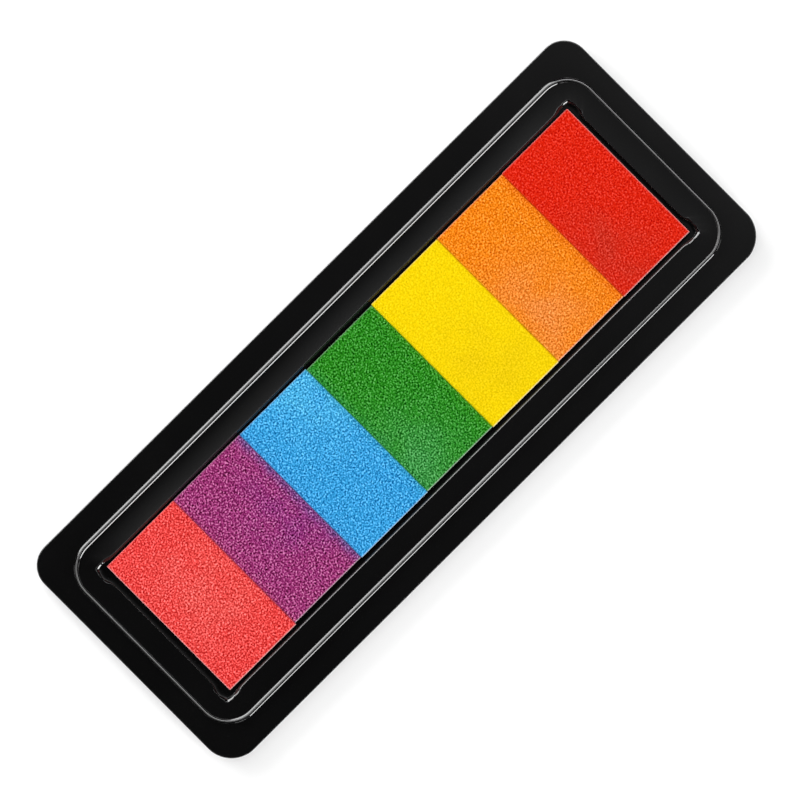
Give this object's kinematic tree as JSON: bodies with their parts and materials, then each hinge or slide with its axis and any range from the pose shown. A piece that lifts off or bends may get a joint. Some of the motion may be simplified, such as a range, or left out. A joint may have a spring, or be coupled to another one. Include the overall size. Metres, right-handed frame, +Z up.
{
  "type": "ink pad",
  "caption": "Long shallow black base holding a row of sprung foam colour pads over felt ink cores, for inking stamps and fingertips.",
  "frame": {"origin": "centre of the base's underside, on the table", "axes": "+X along the row of colours from coral to red, +Y across it, +Z up out of the pads"},
  "size_m": [0.155, 0.0596, 0.0102],
  "materials": {
    "gloss_black": "gloss",
    "matt_black": "satin",
    "adhesive": "satin",
    "film": "satin",
    "foam_coral": "matte",
    "foam_purple": "matte",
    "foam_blue": "matte",
    "foam_green": "matte",
    "foam_yellow": "matte",
    "foam_orange": "matte",
    "foam_red": "matte",
    "felt_coral": "matte",
    "felt_purple": "matte",
    "felt_blue": "matte",
    "felt_green": "matte",
    "felt_yellow": "matte",
    "felt_orange": "matte",
    "felt_red": "matte"
  },
  "bodies": {
    "base": {"base_tray": "gloss_black", "base_cover": "matt_black", "pad_carrier": "matt_black", "adhesive_sheet": "adhesive", "ink_core_coral": "felt_coral", "ink_core_purple": "felt_purple", "ink_core_blue": "felt_blue", "ink_core_green": "felt_green", "ink_core_yellow": "felt_yellow", "ink_core_orange": "felt_orange", "ink_core_red": "felt_red", "divider_film_1": "film", "divider_film_2": "film", "divider_film_3": "film", "divider_film_4": "film", "divider_film_5": "film", "divider_film_6": "film"},
    "coral_pad": {"foam_pad_coral": "foam_coral"},
    "purple_pad": {"foam_pad_purple": "foam_purple"},
    "blue_pad": {"foam_pad_blue": "foam_blue"},
    "green_pad": {"foam_pad_green": "foam_green"},
    "yellow_pad": {"foam_pad_yellow": "foam_yellow"},
    "orange_pad": {"foam_pad_orange": "foam_orange"},
    "red_pad": {"foam_pad_red": "foam_red"}
  },
  "joints": [
    {"name": "press_coral", "type": "slide", "parent": "base", "child": "coral_pad", "axis": [0, 0, 1], "range_m": [-0.0012, 0], "stiffness_N_per_m": 2500, "springref_m": 0.0001, "deforming": ["ink_core_coral"]},
    {"name": "press_purple", "type": "slide", "parent": "base", "child": "purple_pad", "axis": [0, 0, 1], "range_m": [-0.0012, 0], "stiffness_N_per_m": 2500, "springref_m": 0.0001, "deforming": ["ink_core_purple"]},
    {"name": "press_blue", "type": "slide", "parent": "base", "child": "blue_pad", "axis": [0, 0, 1], "range_m": [-0.0012, 0], "stiffness_N_per_m": 2500, "springref_m": 0.0001, "deforming": ["ink_core_blue"]},
    {"name": "press_green", "type": "slide", "parent": "base", "child": "green_pad", "axis": [0, 0, 1], "range_m": [-0.0012, 0], "stiffness_N_per_m": 2500, "springref_m": 0.0001, "deforming": ["ink_core_green"]},
    {"name": "press_yellow", "type": "slide", "parent": "base", "child": "yellow_pad", "axis": [0, 0, 1], "range_m": [-0.0012, 0], "stiffness_N_per_m": 2500, "springref_m": 0.0001, "deforming": ["ink_core_yellow"]},
    {"name": "press_orange", "type": "slide", "parent": "base", "child": "orange_pad", "axis": [0, 0, 1], "range_m": [-0.0012, 0], "stiffness_N_per_m": 2500, "springref_m": 0.0001, "deforming": ["ink_core_orange"]},
    {"name": "press_red", "type": "slide", "parent": "base", "child": "red_pad", "axis": [0, 0, 1], "range_m": [-0.0012, 0], "stiffness_N_per_m": 2500, "springref_m": 0.0001, "deforming": ["ink_core_red"]}
  ]
}
